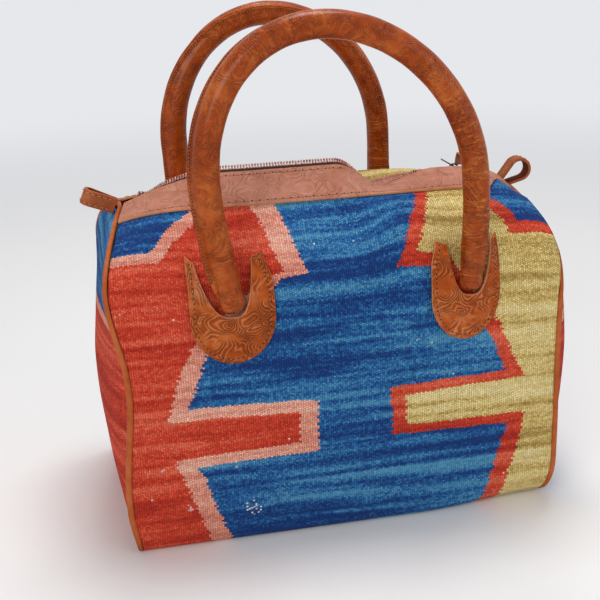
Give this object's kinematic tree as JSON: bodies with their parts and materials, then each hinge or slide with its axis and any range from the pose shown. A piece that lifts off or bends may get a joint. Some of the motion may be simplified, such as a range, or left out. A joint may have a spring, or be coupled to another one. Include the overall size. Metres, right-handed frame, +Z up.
{
  "type": "satchel handbag",
  "caption": "Soft satchel handbag of woven rug cloth with leather zip bands, rolled leather handles set in horseshoe patches, end loops and an open top zip.",
  "frame": {"origin": "centre of the base, on the surface that the bag stands on", "axes": "+X to the bag's right end as seen from its front, +Y to its back, +Z up"},
  "size_m": [0.3945, 0.2337, 0.4201],
  "materials": {
    "rug_cloth": "coarse flat-woven wool, worn",
    "tan_leather": "vegetable-tanned, matt, rubbed edges",
    "brown_leather": "tooled and waxed, satin",
    "lining_cotton": "plain cotton",
    "cotton_cord": "soft laid cord",
    "zip_tape": "woven tape",
    "zip_metal": "dark coppery plating"
  },
  "bodies": {
    "bag": {"body_panel": "rug_cloth", "left_gusset": "rug_cloth", "right_gusset": "rug_cloth", "left_piping": "tan_leather", "right_piping": "tan_leather", "lining": "lining_cotton", "left_loop": "tan_leather", "right_loop": "tan_leather", "front_band": "tan_leather", "back_band": "tan_leather", "front_zip_tape": "zip_tape", "back_zip_tape": "zip_tape", "front_zip_teeth": "zip_metal", "back_zip_teeth": "zip_metal", "front_left_patch": "brown_leather", "front_right_patch": "brown_leather", "back_left_patch": "brown_leather", "back_right_patch": "brown_leather", "zip_end_hood": "tan_leather"},
    "front_handle": {"front_handle": "brown_leather", "front_handle_core": "cotton_cord"},
    "back_handle": {"back_handle": "brown_leather", "back_handle_core": "cotton_cord"},
    "zip_slider": {"zip_slider": "zip_metal"},
    "zip_pull": {"zip_pull": "zip_metal"}
  },
  "joints": [
    {"name": "front_handle_swing", "type": "hinge", "parent": "bag", "child": "front_handle", "pos_m": [0.00275, -0.10639, 0.20651], "axis": [1, -0.0051, 0], "range_deg": [-3, 65], "stiffness_Nm_per_rad": 0.3},
    {"name": "back_handle_swing", "type": "hinge", "parent": "bag", "child": "back_handle", "pos_m": [-0.0118, 0.10622, 0.20658], "axis": [-1, -0.0013, 0], "range_deg": [-3, 65], "stiffness_Nm_per_rad": 0.3},
    {"name": "zip_slide", "type": "slide", "parent": "bag", "child": "zip_slider", "axis": [-1, 0, 0], "range_m": [0, 0.241]},
    {"name": "zip_pull_hinge", "type": "hinge", "parent": "zip_slider", "child": "zip_pull", "pos_m": [0.119, 0, 0.2763], "axis": [0, 1, 0], "range_deg": [-30, 58]}
  ]
}
